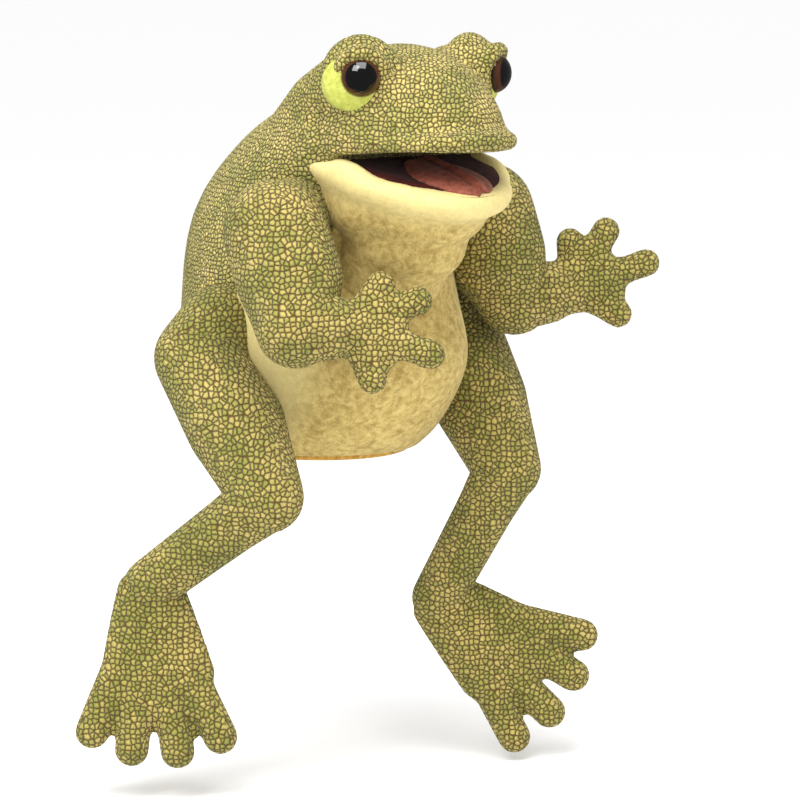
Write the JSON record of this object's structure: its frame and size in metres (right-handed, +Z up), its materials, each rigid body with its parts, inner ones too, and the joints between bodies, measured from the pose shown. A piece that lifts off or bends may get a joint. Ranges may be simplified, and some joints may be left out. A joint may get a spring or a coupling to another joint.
{
  "type": "frog hand puppet",
  "caption": "Plush frog hand puppet with a glove body, a mouth worked by fingers and thumb, and stuffed arms and legs that bend.",
  "frame": {"origin": "middle of the hand opening, in the plane of the hem's lower edge", "axes": "+Z up, along the puppeteer's forearm; -Y the way the frog faces; +X the frog's left"},
  "size_m": [0.3112, 0.2401, 0.3752],
  "materials": {
    "scaled_plush": "short pile printed with raised olive scales",
    "cream_velour": "soft short pile",
    "stuffing": "polyester fibre",
    "lining": "smooth woven lining",
    "hem_cloth": "folded golden binding",
    "mouth_cloth": "dark maroon velour",
    "tongue_satin": "rust-red satin velour",
    "board": "stiff board",
    "eye_plastic": "polished dome",
    "washer_plastic": "moulded",
    "lime_velour": "short pile"
  },
  "bodies": {
    "body": {"back_skin": "scaled_plush", "belly_panel": "cream_velour", "back_padding": "stuffing", "belly_padding": "stuffing", "glove_lining": "lining", "hem_binding": "hem_cloth"},
    "head": {"head_skin": "scaled_plush", "head_fill": "stuffing", "finger_pocket": "lining", "palate_lining": "mouth_cloth", "palate_board": "board", "right_eye": "eye_plastic", "right_eye_washer": "washer_plastic", "right_eye_patch": "lime_velour", "left_eye": "eye_plastic", "left_eye_washer": "washer_plastic", "left_eye_patch": "lime_velour"},
    "jaw": {"jaw_skin": "cream_velour", "jaw_fill": "stuffing", "thumb_pocket": "lining", "mouth_floor_lining": "mouth_cloth", "jaw_board": "board", "tongue": "tongue_satin"},
    "right_arm": {"right_upper_arm_skin": "scaled_plush", "right_upper_arm_fill": "stuffing"},
    "right_forearm": {"right_forearm_skin": "scaled_plush", "right_forearm_fill": "stuffing", "right_hand_skin": "scaled_plush", "right_hand_fill": "stuffing"},
    "right_thigh": {"right_thigh_skin": "scaled_plush", "right_thigh_fill": "stuffing"},
    "right_shin": {"right_shin_skin": "scaled_plush", "right_shin_fill": "stuffing"},
    "right_foot": {"right_foot_skin": "scaled_plush", "right_foot_fill": "stuffing"},
    "left_arm": {"left_upper_arm_skin": "scaled_plush", "left_upper_arm_fill": "stuffing"},
    "left_forearm": {"left_forearm_skin": "scaled_plush", "left_forearm_fill": "stuffing", "left_hand_skin": "scaled_plush", "left_hand_fill": "stuffing"},
    "left_thigh": {"left_thigh_skin": "scaled_plush", "left_thigh_fill": "stuffing"},
    "left_shin": {"left_shin_skin": "scaled_plush", "left_shin_fill": "stuffing"},
    "left_foot": {"left_foot_skin": "scaled_plush", "left_foot_fill": "stuffing"}
  },
  "joints": [
    {"name": "neck_nod", "type": "hinge", "parent": "body", "child": "head", "pos_m": [0, -0.062, 0.15], "axis": [1, 0, 0], "range_deg": [-12, 10]},
    {"name": "jaw_open", "type": "hinge", "parent": "head", "child": "jaw", "pos_m": [0, -0.092, 0.157], "axis": [1, 0, 0], "range_deg": [-8, 20]},
    {"name": "right_shoulder", "type": "hinge", "parent": "body", "child": "right_arm", "pos_m": [-0.067, -0.08, 0.12], "axis": [0, 0, -1], "range_deg": [-5, 55]},
    {"name": "right_elbow", "type": "hinge", "parent": "right_arm", "child": "right_forearm", "pos_m": [-0.076, -0.111, 0.076], "axis": [-0.3257, -0.7403, 0.5882], "range_deg": [-35, 12]},
    {"name": "right_hip", "type": "hinge", "parent": "body", "child": "right_thigh", "pos_m": [-0.088, -0.033, 0.054], "axis": [1, 0, 0], "range_deg": [-18, 30]},
    {"name": "right_knee", "type": "hinge", "parent": "right_thigh", "child": "right_shin", "pos_m": [-0.0846, -0.099, -0.0075], "axis": [0.9006, 0.3203, -0.2939], "range_deg": [-50, 10]},
    {"name": "right_ankle", "type": "hinge", "parent": "right_shin", "child": "right_foot", "pos_m": [-0.1195, -0.0452, -0.0558], "axis": [-0.8713, -0.4819, 0.0928], "range_deg": [-30, 8]},
    {"name": "left_shoulder", "type": "hinge", "parent": "body", "child": "left_arm", "pos_m": [0.076, -0.062, 0.122], "axis": [0, 0, 1], "range_deg": [-40, 10]},
    {"name": "left_elbow", "type": "hinge", "parent": "left_arm", "child": "left_forearm", "pos_m": [0.088, -0.072, 0.077], "axis": [-0.4925, -0.8681, 0.0616], "range_deg": [-35, 12]},
    {"name": "left_hip", "type": "hinge", "parent": "body", "child": "left_thigh", "pos_m": [0.088, -0.033, 0.054], "axis": [1, 0, 0], "range_deg": [-18, 30]},
    {"name": "left_knee", "type": "hinge", "parent": "left_thigh", "child": "left_shin", "pos_m": [0.0655, -0.0957, -0.0079], "axis": [0.9509, -0.0379, -0.3073], "range_deg": [-50, 10]},
    {"name": "left_ankle", "type": "hinge", "parent": "left_shin", "child": "left_foot", "pos_m": [0.044, -0.0643, -0.0783], "axis": [-0.7264, -0.6823, -0.0825], "range_deg": [-30, 8]}
  ]
}
